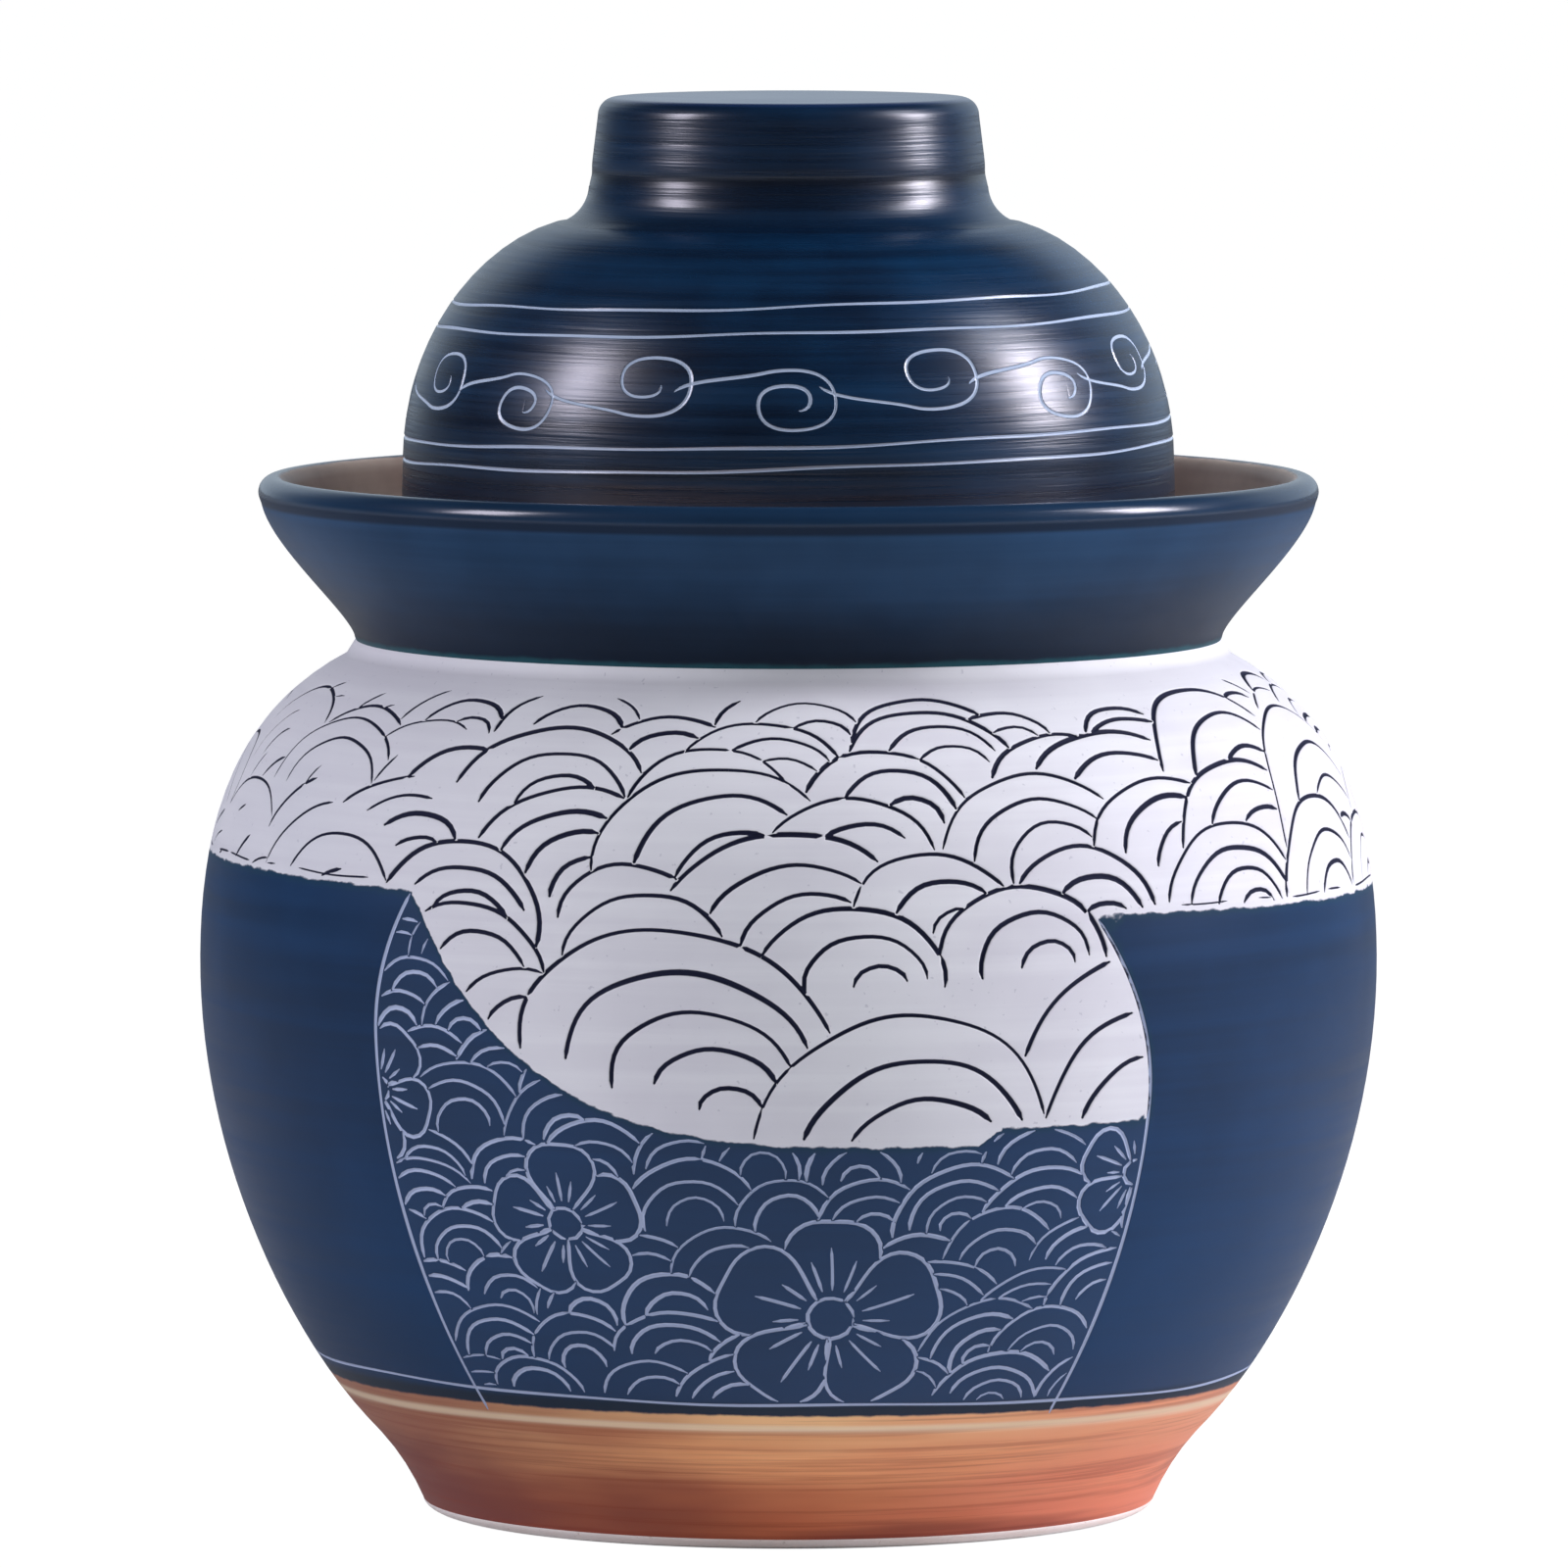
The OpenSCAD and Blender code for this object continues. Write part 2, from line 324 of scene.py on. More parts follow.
class Thrown:
    """A closed mesh of a thrown piece, put together from cut and plain walls.

    Edges whose two sides differ by more than the crease keep a hard corner, and the
    places on the bake sheet stay clear of its left and right margins.
    """

    crease, sheet_left, sheet_width = 0.86, 0.004, 0.99

    def __init__(self):
        self.points, self.faces, self.normals, self.places, self.cut = [], [], [], [], []

    def cut_wall(self, wall, cuts, step, spacing, strip):
        """Adds a wall with its grooves and returns its lower and upper ring."""
        sheet = Sheet(wall)
        for cut in cuts:
            sheet.groove(cut, step)
        angle, way, depth, cut, faces, rings = sheet.mesh_data(spacing)
        start = len(self.points)
        where, normal = wall.place(angle, way, depth), wall.normal(angle, way)
        one, two, three = where[faces].transpose(1, 0, 2)
        own = np.cross(two - one, three - one)
        wrong = (own * normal[faces[:, 0]]).sum(1) < 0
        faces[wrong] = faces[wrong][:, ::-1]
        own[wrong] *= -1
        own /= np.maximum(np.linalg.norm(own, axis=1), 1e-20)[:, None]
        sloped = (depth[faces] > 0).any(axis=1)[:, None, None]
        shading = np.where(sloped, own[:, None] * 0.75 + normal[faces] * 0.25, normal[faces])
        turn = (angle[faces] + math.pi) % (2 * math.pi)
        over = (turn.max(axis=1) - turn.min(axis=1) > math.pi)[:, None] & (turn < math.pi)
        u = self.sheet_left + self.sheet_width * (turn + over * 2 * math.pi) / (2 * math.pi)
        v = strip[0] + (strip[1] - strip[0]) * way[faces] / wall.way[-1]
        self.points += where.tolist()
        self.faces += (faces + start).tolist()
        self.normals += shading.reshape(-1, 3).tolist()
        self.places += np.stack([u, v], -1).reshape(-1, 2).tolist()
        self.cut += cut.tolist()
        return [[start + i for i in ring] for ring in rings]

    def plain_wall(self, outline, strip, first=None, last=None, closed=False):
        """Adds a smooth wall, which may start or end on a ring that is there already."""
        if closed:
            outline = np.vstack([outline, outline[:1]])
        step = np.diff(outline, axis=0)
        way = np.concatenate([[0], np.cumsum(np.hypot(*step.T))])
        out = np.stack([step[:, 1], -step[:, 0]], 1) / np.hypot(*step.T)[:, None]
        before = np.vstack([out[-1:] if closed else out[:1], out[:-1]])
        after = np.vstack([out[1:], out[:1] if closed else out[-1:]])
        low = np.where((out * before).sum(1)[:, None] > self.crease, out + before, out)
        high = np.where((out * after).sum(1)[:, None] > self.crease, out + after, out)
        turn = np.arange(ROUND) * 2 * math.pi / ROUND
        rings = []
        for k, (r, z) in enumerate(outline):
            if k == 0 and first is not None:
                ring = first
            elif k == len(outline) - 1 and (last is not None or closed):
                ring = rings[0] if closed else last
            else:
                start = len(self.points)
                if r < 0.01 * MM:
                    self.points.append((0, 0, z))
                    ring = [start] * ROUND
                else:
                    self.points += [(r * math.sin(a), -r * math.cos(a), z) for a in turn]
                    ring = list(range(start, start + ROUND))
            rings.append(ring)
        self.cut += [0.0] * (len(self.points) - len(self.cut))
        v = strip[0] + (strip[1] - strip[0]) * way / way[-1]
        for k in range(len(rings) - 1):
            for j in range(ROUND):
                n = (j + 1) % ROUND
                face, corners = [], []
                for level, side in ((0, 0), (0, 1), (1, 1), (1, 0)):
                    point = rings[k + level][n if side else j]
                    if point not in face:
                        face.append(point)
                        corners.append((level, side))
                if len(face) < 3:
                    continue
                self.faces.append(tuple(face))
                for level, side in corners:
                    spin = 2 * math.pi * (j + side) / ROUND
                    lean = (low, high)[level][k]
                    self.normals.append((lean[0] * math.sin(spin), -lean[0] * math.cos(spin), lean[1]))
                    across = ((j + ROUND // 2) % ROUND + side) / ROUND
                    self.places.append((self.sheet_left + self.sheet_width * across, v[k + level]))
        return rings[0], rings[-1]

    def finish(self, name, material, values=None):
        """Makes the object, with its own shading normals and any values for its finish."""
        mesh = bpy.data.meshes.new(name)
        mesh.from_pydata(self.points, [], self.faces)
        mesh.polygons.foreach_set("use_smooth", [True] * len(self.faces))
        layer = mesh.uv_layers.new(name="OFBake")
        layer.uv.foreach_set("vector", np.array(self.places, np.float32).ravel())
        for word, numbers in dict(values or {}, cut=self.cut).items():
            layer = mesh.attributes.new(word, "FLOAT", "POINT")
            layer.data.foreach_set("value", np.asarray(numbers, np.float32))
        normals = np.array(self.normals)
        normals /= np.linalg.norm(normals, axis=1)[:, None]
        mesh.normals_split_custom_set(normals.tolist())
        mesh.materials.append(material)
        piece = bpy.data.objects.new(name, mesh)
        bpy.context.scene.collection.objects.link(piece)
        return piece


foot_height = 2.2
base_radius = 73.6
flare_radius, flare_height = base_radius + 10.8, foot_height + 16
belly_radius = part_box("jar_body")[1].x / MM
belly_height = 110.5
joint_radius, joint_height = 86.9, 175.4
mouth_radius, bore_radius, seat_height = 61, 55, 178
wall_thickness = 7
floor_height = foot_height + 9

body_outside = join(
    curve(
        (base_radius, foot_height), (base_radius + 3.1, foot_height + 7.2),
        (flare_radius - 3.8, flare_height - 3.9), (flare_radius, flare_height), 16,
    ),
    curve(
        (flare_radius, flare_height), (flare_radius + 14, flare_height + 14.5),
        (belly_radius, belly_height - 42), (belly_radius, belly_height), 60,
    ),
    curve(
        (belly_radius, belly_height), (belly_radius, belly_height + 30),
        (belly_radius - 8, joint_height - 13.7), (joint_radius + 0.6, joint_height - 2.5), 60,
    ),
    [(joint_radius, joint_height)],
)
body = Wall(body_outside)

# The white slip ends on the shoulder, a little lower on the right, and swoops down
# across the panel at the front.
slip_height, slip_fall = 130.1 * MM, 3.3 * MM
swoop_low, swoop_drop, swoop_end, swoop_span, swoop_power = 84 * MM, 48 * MM, 19.0, 58.0, 4.3
step_height = 3.4 * MM
# The sides of the panel bow outward: bulge angle and height, then angle and height
# of the upper and the lower end.
left_side = ((-43.3, 103), (-39.2, 132.5), (-40.1, 29))
right_side = ((37.2, 90), (31.0, 127.5), (33.9, 29))


def side_angle(side, height):
    """The angle of a side of the panel at a height."""
    (most, at), (upper, top_sheen), (lower, bottom) = side
    above = np.clip((height / MM - at) / (top_sheen - at), 0, 1) ** 2
    below = np.clip((at - height / MM) / (at - bottom), 0, 1) ** 2
    return np.radians(most + (upper - most) * above + (lower - most) * below)


def slip_edge(angle):
    """Height of the lower edge of the white slip outside the panel."""
    return slip_height - slip_fall * np.sin(angle)


def swoop_edge(angle):
    """Height of the lower edge of the white slip inside the panel."""
    share = np.clip((swoop_end - np.degrees(angle)) / swoop_span, 0, 1.2)
    step = np.where(np.degrees(angle) > swoop_end + 1, step_height, 0)
    return swoop_low + swoop_drop * share**swoop_power + step


def in_panel(angle, height):
    """How far inside the sides of the front panel a place is, negative outside."""
    left = angle - side_angle(left_side, height)
    right = side_angle(right_side, height) - angle
    return np.minimum(left, right) * belly_radius * MM


def whiteness(angle, height):
    """How far inside the white slip a place is, negative on the navy."""
    best = height - slip_edge(angle)
    for panel_angle in (0, math.pi):
        own = turned(angle, panel_angle)
        inside = np.minimum(in_panel(own, height), height - swoop_edge(own))
        best = np.maximum(best, inside)
    return best


def scaled_loop(size, rise, start, end, lean, wobble, steps=60):
    """An arc of an oval, leaning over and a little uneven, as the hand draws it."""
    angle = np.radians(np.linspace(start, end, steps))
    swell = 1 + wobble * np.sin(2 * angle + size * 900) + 0.3 * wobble * np.sin(7 * angle + size * 4000)
    x, y = size * swell * np.cos(angle), size * rise * swell * np.sin(angle)
    c, s = math.cos(lean), math.sin(lean)
    return np.stack([c * x - s * y, s * x + c * y], 1)


class Wave:
    """One fan of the wave pattern: a domed outline with arcs nested inside it."""

    wobble, big = 0.03, 24 * MM

    def __init__(self, wall, angle, height, size, gap, rise=0.85, lean=0.0, open_right=0):
        self.wall, self.open_right = wall, open_right
        self.centre = wall.spot(math.radians(angle), height * MM)
        self.size, self.gap = size * MM, gap * MM
        self.rise, self.lean = rise, math.radians(lean)

    def arcs(self):
        """The outline first, then the arcs inside it, which may stop short at the right."""
        lines = []
        size, k = self.size, 0
        least = self.gap * 0.8
        while size > least:
            end = -8 if k == 0 else self.open_right * random.uniform(0, 1) - 10
            start = 190 - (0 if k == 0 else random.uniform(-8, 14))
            path = scaled_loop(size, self.rise, start, end, self.lean, self.wobble)
            drift = (self.size - size) * (0.42 if self.open_right else random.uniform(-0.1, 0.15))
            sag = (self.size - size) * (0.4 if self.size > self.big else 0.1)
            lines.append(self.wall.around(self.centre, path + (drift, -sag)))
            size -= self.gap * random.uniform(0.82, 1.08)
            k += 1
        return lines

    def touches(self, other):
        """Whether another shape is near enough to lie over this one."""
        away = self.wall.distances(self.centre, np.array([other.centre]))[0]
        return math.hypot(*away) < 1.15 * (self.size + other.size)

    def covers(self, line, spread=1.0):
        """Which points of a line lie under this fan."""
        away = self.wall.distances(self.centre, line) / spread
        c, s = math.cos(-self.lean), math.sin(-self.lean)
        x, y = c * away[:, 0] - s * away[:, 1], s * away[:, 0] + c * away[:, 1]
        tall = np.where(y > 0, self.size * self.rise, self.size * 0.3)
        swell = 1 + self.wobble * np.sin(2 * np.arctan2(y / self.rise, x) + self.size * 900)
        return (x / self.size) ** 2 + (y / tall) ** 2 < 0.99 * swell**2


def lay(shapes, visible, width, depth, shortest, covers=()):
    """Cuts for shapes laid one over another, each hiding those before it."""
    cuts = []
    for k, shape in enumerate(shapes):
        later = [over for over in list(shapes[k + 1:]) + list(covers) if shape.touches(over)]
        for line in shape.arcs():
            kept, beside = visible(line), np.zeros(len(line), bool)
            for over in later:
                kept &= ~over.covers(line)
                beside |= over.covers(line, 1.12)
            for run in keep_runs(np.arange(len(line)), kept):
                length = shape.wall.even(line[run], 1 * MM)[1][-1]
                if length < shortest or beside[run].mean() > 0.7:
                    continue
                faint = faintness(line[run[0], 0]) if shape.open_right else 1
                if faint < 0.9 and random.random() < 0.45:
                    run = run[:round(len(run) * random.uniform(0.25, 0.6))]
                if len(run) > 3 and random.random() < faint + 0.2:
                    cuts.append(Cut(line[run], width * faint * random.uniform(0.7, 1.12), depth * faint))
    return cuts


def faintness(angle):
    """The slip at the left side is cut more lightly than the rest."""
    left = -float(turned(angle))
    return 1 - 0.28 * min(max((left - 0.72) / 0.25, 0), max((2.1 - left) / 0.3, 0), 1)


# The wide rows have their tallest fans at one place on the right.
swell_angle, swell_pitch = 62, 28


def wave_rows(wall, rows, low, high, open_right=0):
    """Fans in rows from the top down: height, size, gap and pitch of each row."""
    fans = []
    for k, (height, size, gap, pitch) in enumerate(rows):
        turn = math.degrees(pitch * MM / float(wall.radius(wall.way_at(height * MM))))
        count = max(1, round((high - low) / turn))
        for j in range(count):
            angle = low + (high - low) * (j + 0.5 * (k % 2) + random.uniform(-0.2, 0.2)) / count
            grow = random.uniform(0.8, 1.22)
            swell = math.exp(-((angle - swell_angle) / 15) ** 2) if pitch > swell_pitch else 0
            fans.append(Wave(
                wall, angle, height + random.uniform(-2, 2), size * grow * (1 + 0.3 * swell), gap,
                random.uniform(0.72, 0.98) + 0.3 * swell, random.uniform(-20, 20), open_right,
            ))
    return fans


class Blossom:
    """Five rounded petals round a ring, with three short lines in each petal."""

    def __init__(self, wall, angle, height, size, spin):
        self.wall = wall
        self.centre = wall.spot(math.radians(angle), height * MM)
        self.size = size * MM
        self.spin = spin
        self.petals = [self.petal(k) for k in range(5)]

    def petal(self, k):
        """The outline of one petal, as distances from the centre."""
        turn = math.radians(self.spin + 72 * k + random.uniform(-3, 3))
        size = self.size * random.uniform(0.92, 1.06)
        shape = np.array([
            (0.2, -33), (0.42, -37), (0.64, -38), (0.86, -31), (0.98, -15), (0.94, 0),
            (0.99, 15), (0.86, 31), (0.64, 38), (0.42, 37), (0.2, 33),
        ])
        knots = np.arange(len(shape))
        fine = np.linspace(0, len(shape) - 1, 48)
        from_ring = np.interp(fine, knots, shape[:, 0])
        swing = np.interp(fine, knots, shape[:, 1])
        for _ in range(5):
            from_ring[1:-1] = (from_ring[:-2] + from_ring[1:-1] + from_ring[2:]) / 3
            swing[1:-1] = (swing[:-2] + swing[1:-1] + swing[2:]) / 3
        angle = turn + np.radians(swing)
        return size * from_ring[:, None] * np.stack([np.cos(angle), np.sin(angle)], 1)

    def within(self, k, away):
        """Which points lie inside a petal, by counting its crossings."""
        x1, y1 = self.petals[k].T
        x2, y2 = np.roll(x1, -1), np.roll(y1, -1)
        y2 = np.where(y2 == y1, y1 + 1e-9, y2)
        x, y = away[:, :1], away[:, 1:]
        spans = (y1 > y) != (y2 > y)
        return (spans & (x < (x2 - x1) * (y - y1) / (y2 - y1) + x1)).sum(1) % 2 == 1

    def covers(self, line, spread=1.0):
        """Which points of a line lie under the petals or the ring."""
        away = self.wall.distances(self.centre, line) / spread
        covered = np.hypot(*away.T) < 0.22 * self.size
        near = np.hypot(*away.T) < 1.1 * self.size
        for k in range(5 if near.any() else 0):
            covered[near] |= self.within(k, away[near])
        return covered

    def cuts(self, visible, width, depth):
        """The petals, each behind the next, then the ring and the short lines."""
        cuts = []
        for k in range(5):
            line = self.wall.around(self.centre, self.petals[k])
            kept = visible(line)
            if k < 4:
                kept &= ~self.within(k + 1, self.petals[k])
            if k == 0:
                kept &= ~self.within(4, self.petals[k])
            cuts += cut_runs(line, kept, width, depth)
            for swing, reach in ((-20, 0.56), (1, 0.7), (21, 0.54)):
                turn = math.radians(self.spin + 72 * k + swing + random.uniform(-3, 3))
                far = np.linspace(0.26, reach * random.uniform(0.88, 1.1), 12)[:, None] * self.size
                bend = turn + 0.1 * (far - far[0]) / self.size
                line = self.wall.around(self.centre, np.hstack([far * np.cos(bend), far * np.sin(bend)]))
                cuts += cut_runs(line, visible(line), width * 0.85, depth)
        ring = scaled_loop(0.2 * self.size, 0.95, 0, 356, 0, 0.04)
        line = self.wall.around(self.centre, ring)
        return cuts + cut_runs(line, visible(line), width, depth)


def ring_line(wall, height, swing, width, depth, wobble=0.25 * MM, phase=0.0):
    """A line drawn round the turning jar, higher on the right by the swing."""
    angle = np.linspace(math.pi, 3 * math.pi, 721)
    level = height + swing * np.sin(angle)
    level = level + wobble * (np.sin(5 * angle + phase) + 0.6 * np.sin(11 * angle + 2 * phase))
    return Cut(np.stack([angle, wall.way_at(level)], 1), width, depth, closed=True)


dark_width, dark_depth = 1.36 * MM, 0.45 * MM
pale_width, pale_depth = 1.05 * MM, 0.36 * MM
ring_width, ring_depth = 0.9 * MM, 0.3 * MM
scratch_width, scratch_depth = 0.55 * MM, 0.2 * MM
line_margin = 0.7 * MM
joint_strip = 169.8 * MM
ring_height, ring_swing = 31.3 * MM, -1.7 * MM
# Where the sides of the panel start, and how far past a side, in radians, the slip is
# looked for beside it.
side_low, side_margin = 27.5 * MM, 0.01
band_height, band_swing, band_rise = 27.7 * MM, -0.8 * MM, 1.3 * MM


def on_slip(line):
    """A test for places on the white slip, clear of its edge and of the joint."""
    height = body.height(line[:, 1])
    return (whiteness(line[:, 0], height) > line_margin) & (height < joint_strip)


def on_panel_navy(turn):
    """A test for places on the navy of the panel that faces a given way."""
    def test(line):
        height = body.height(line[:, 1])
        own = turned(line[:, 0], turn)
        above_ring = height > ring_height + ring_swing * np.sin(line[:, 0]) + line_margin
        dark = whiteness(line[:, 0], height) < -line_margin
        return (in_panel(own, height) > line_margin) & dark & above_ring
    return test


def in_front(seen, others):
    """A test for places that pass one test and lie under none of the other shapes."""
    def test(line):
        kept = seen(line)
        for other in others:
            kept &= ~other.covers(line)
        return kept
    return test


# Rows of fans on the white shoulder: height, size, gap between arcs and pitch.
shoulder_rows = [
    (161, 13.5, 4.6, 23), (155, 16.5, 5.0, 27), (146.5, 19, 5.3, 31),
    (136.5, 20, 5.6, 33), (126, 20, 5.6, 33),
]
# The big fans of the panel: angle, height, half width, gap, rise and lean.
panel_waves = [
    (-32, 117, 17, 6.4, 0.8, -8), (-14, 121, 16, 6, 0.8, 8), (23, 120, 18, 6.2, 0.8, 6),
    (6, 117, 19, 6.4, 0.72, 0), (-27, 107, 14, 5.5, 0.8, 5), (-11, 102, 33, 7.0, 0.72, -8),
    (35, 85, 28, 6.2, 1.25, 10), (11, 84, 29, 6.8, 0.92, 6),
]
# Rows of small fans on the navy of the panel.
small_rows = [(height, 10.8, 3.6, 16) for height in (127, 119, 111, 103, 95)]
small_rows += [(height, 12, 3.8, 18) for height in (87, 77.5, 68, 58.5, 49.5, 40.5, 31.5)]
# Blossoms: angle, height, size and turn.
blossoms = [(-23, 68, 17.5, 20), (4.5, 49.5, 23.5, 88), (-43.5, 93, 14.5, 50), (36.5, 77, 14, 10)]

random.seed(23)
white_fans = wave_rows(body, shoulder_rows, -180, 180, 40)
body_cuts = []
for turn in (0, 180):
    white_fans += [
        Wave(body, turn + angle, height, size, gap, rise, lean, 30)
        for angle, height, size, gap, rise, lean in panel_waves
    ]
body_cuts += lay(white_fans, on_slip, dark_width, dark_depth, 6 * MM)
for turn in (0, 180):
    visible = on_panel_navy(math.radians(turn))
    flowers = [
        Blossom(body, turn + angle, height, size, spin + 31 * (turn > 0))
        for angle, height, size, spin in blossoms
    ]
    small = wave_rows(body, small_rows, turn - 45, turn + 42)
    body_cuts += lay(small, visible, pale_width, pale_depth, 2.5 * MM, flowers)
    for k, flower in enumerate(flowers):
        body_cuts += flower.cuts(in_front(visible, flowers[k + 1:]), pale_width, pale_depth)
    for side in (left_side, right_side):
        height = np.linspace(side_low, side[1][1] * MM, 160)
        angle = math.radians(turn) + side_angle(side, height)
        line = np.stack([angle, body.way_at(height)], 1)
        dark = whiteness(angle + side_margin * np.sign(side[0][0]), height) < 0.2 * MM
        body_cuts += cut_runs(line, dark, pale_width, pale_depth)
body_cuts.append(ring_line(body, ring_height, ring_swing, ring_width, ring_depth))
# A broken scratch follows the edge of the slip between one panel and the next.
for turn in (0, 180):
    angle = np.radians(np.linspace(turn + 41, turn + 137, 500))
    edge = slip_edge(angle) + (1.5 + 0.25 * np.sin(angle * 23)) * MM
    broken = np.sin(angle * 19) + np.sin(angle * 47 + 2) > -0.3
    line = np.stack([angle, body.way_at(edge)], 1)
    body_cuts += cut_runs(line, broken, scratch_width, scratch_depth)

jar = Thrown()
low_ring, high_ring = jar.cut_wall(body, body_cuts, 1.7 * MM, 4.2 * MM, (0.3, 1.0))
outside_count = len(jar.points)
body_inside = inset(body_outside / MM, wall_thickness)
kept = (body_inside[:, 1] > floor_height + 6) & (body_inside[:, 1] < seat_height - wall_thickness - 3)
body_inside = body_inside[kept & (body_inside[:, 0] > bore_radius)][::-1]
low_inside = body_inside[-1]
floor_corner = curve(low_inside, low_inside + (-4, -5), (66, floor_height), (58, floor_height), 8)
jar.plain_wall(
    join(
        [(joint_radius, joint_height), (mouth_radius, seat_height), (bore_radius, seat_height)],
        [(bore_radius, seat_height - wall_thickness)], body_inside[::3], floor_corner,
        [(30, floor_height), (0, floor_height)],
    ),
    (0.02, 0.2), first=high_ring,
)
inside_count = len(jar.points)
underside = join([(r, foot_height) for r in (0, 30, base_radius - 0.5, base_radius)])
jar.plain_wall(underside, (0.22, 0.28), last=low_ring)
spots = np.array(jar.points)
body_angle = np.arctan2(spots[:, 0], -spots[:, 1])
slip_value = np.clip(whiteness(body_angle, spots[:, 2]) / MM, -30, 30)
region = np.repeat([0.0, 1.0, 2.0], np.diff([0, outside_count, inside_count, len(spots)]))
band_edge = band_height + band_swing * np.sin(body_angle) + band_rise * np.cos(body_angle)
band_value = (spots[:, 2] - band_edge) / MM
front, back = (in_panel(turned(body_angle, facing), spots[:, 2]) for facing in (0, math.pi))
panel_value = np.clip(np.maximum(front, back) / MM, -5, 5)
body_values = {"slip": slip_value, "band": band_value, "region": region, "panel": panel_value}


class Part:
    """A socket in a material. Arithmetic on it adds the Math nodes."""

    def __init__(self, finish, socket):
        self.finish, self.socket = finish, socket

    def __add__(self, other):
        return self.finish.maths("ADD", self, other)

    def __sub__(self, other):
        return self.finish.maths("SUBTRACT", self, other)

    def __rsub__(self, other):
        return self.finish.maths("SUBTRACT", other, self)

    def __mul__(self, other):
        return self.finish.maths("MULTIPLY", self, other)

    __radd__, __rmul__ = __add__, __mul__


class Finish:
    """A node material, or the world's nodes, built up from plain parts."""

    def __init__(self, name, world=None):
        self.material = world or bpy.data.materials.new(name)
        self.material.use_nodes = True
        self.tree = self.material.node_tree
        self.tree.nodes.clear()

    def node(self, kind, settings=None, out=0, **sockets):
        """Adds a node: its settings first, then its sockets, and returns an output."""
        made = self.tree.nodes.new("ShaderNode" + kind)
        for word, value in (settings or {}).items():
            setattr(made, word, value)
        for word, value in sockets.items():
            numbered = word[0] == "i" and word[1:].isdigit()
            socket = made.inputs[int(word[1:]) if numbered else word.replace("_", " ")]
            if isinstance(value, Part):
                self.tree.links.new(value.socket, socket)
            else:
                socket.default_value = value
        return Part(self, made.outputs[out]) if len(made.outputs) else None

    def maths(self, operation, one, two):
        return self.node("Math", {"operation": operation}, i0=one, i1=two)

    def value(self, name):
        """A number that the mesh carries at each of its points."""
        return self.node("Attribute", {"attribute_name": name}, out="Fac")

    def stretched(self, x, y, z):
        """Places on the object, squeezed along each axis."""
        place = self.node("TexCoord", out="Object")
        return self.node("VectorMath", {"operation": "MULTIPLY"}, i0=place, i1=(x, y, z))

    def along(self, axis):
        """Places along one axis of the object, in millimetres."""
        return self.node("SeparateXYZ", Vector=self.stretched(1000, 1000, 1000), out=axis)

    def noise(self, scale, detail=3.0, roughness=0.55, stretch=(1, 1, 1)):
        """Cloudy noise, which a large stretch along z turns into rings."""
        place = self.stretched(*stretch)
        return self.node("TexNoise", Vector=place, Scale=scale, Detail=detail, Roughness=roughness)

    def step(self, value, low, high):
        """0 below low, 1 above high and smooth between."""
        return self.node(
            "MapRange", {"interpolation_type": "SMOOTHSTEP"},
            Value=value, From_Min=low, From_Max=high,
        )

    def fall(self, value, low, high):
        """1 below low, 0 above high and smooth between."""
        return 1 - self.step(value, low, high)

    def mix(self, share, one, two):
        """From one colour to the other, by a share."""
        return self.node("Mix", {"data_type": "RGBA"}, out=2, i0=share, i6=one, i7=two)

    def surface(self, bump=None, strength=0.3, distance=0.3 * MM, **sockets):
        """The glazed surface itself."""
        if bump is not None:
            sockets["Normal"] = self.node("Bump", Strength=strength, Distance=distance, Height=bump)
        shader = self.node("BsdfPrincipled", **sockets)
        self.node("OutputMaterial", Surface=shader)
        return self.material


def shade(red, green, blue):
    """A colour from its usual 0 to 255 values."""
    parts = [part / 255 for part in (red, green, blue)]
    return tuple(p / 12.92 if p < 0.04045 else ((p + 0.055) / 1.055) ** 2.4 for p in parts) + (1.0,)


def brown_glaze(f):
    """Colour and roughness of the pale brown glaze that lines the jar."""
    pooled_glaze_and_shade = f.noise(26.0, 4)
    rings = f.noise(1.0, 3, stretch=(8, 8, 160))
    strong = f.step(pooled_glaze_and_shade + rings * 0.6, 0.5, 1.1)
    brown = f.mix(strong, shade(192, 164, 152), shade(250, 226, 210))
    return brown, 0.3 + pooled_glaze_and_shade * 0.2


def bare_clay(f):
    """Colour and roughness of the clay where it is left unglazed."""
    grain = f.noise(800.0, 2)
    stain = f.noise(30.0, 3)
    clay = f.mix(f.step(stain, 0.35, 0.75), shade(244, 236, 228), shade(252, 248, 244))
    clay = f.mix(f.step(grain, 0.66, 0.74) * 0.4, clay, shade(186, 172, 156))
    return clay, 0.78 + grain * 0.15


def lined_and_bare(f, colour, rough, bare_from, bare_to):
    """Adds the glaze of the inside and the bare clay that the piece stands on."""
    region = f.value("region")
    brown, brown_rough = brown_glaze(f)
    clay, clay_rough = bare_clay(f)
    lined, bare = f.step(region, 0.1, 0.5), f.step(region, bare_from, bare_to)
    colour = f.mix(bare, f.mix(lined, colour, brown), clay)
    rough = rough + (brown_rough - rough) * lined
    return colour, rough + (clay_rough - rough) * bare


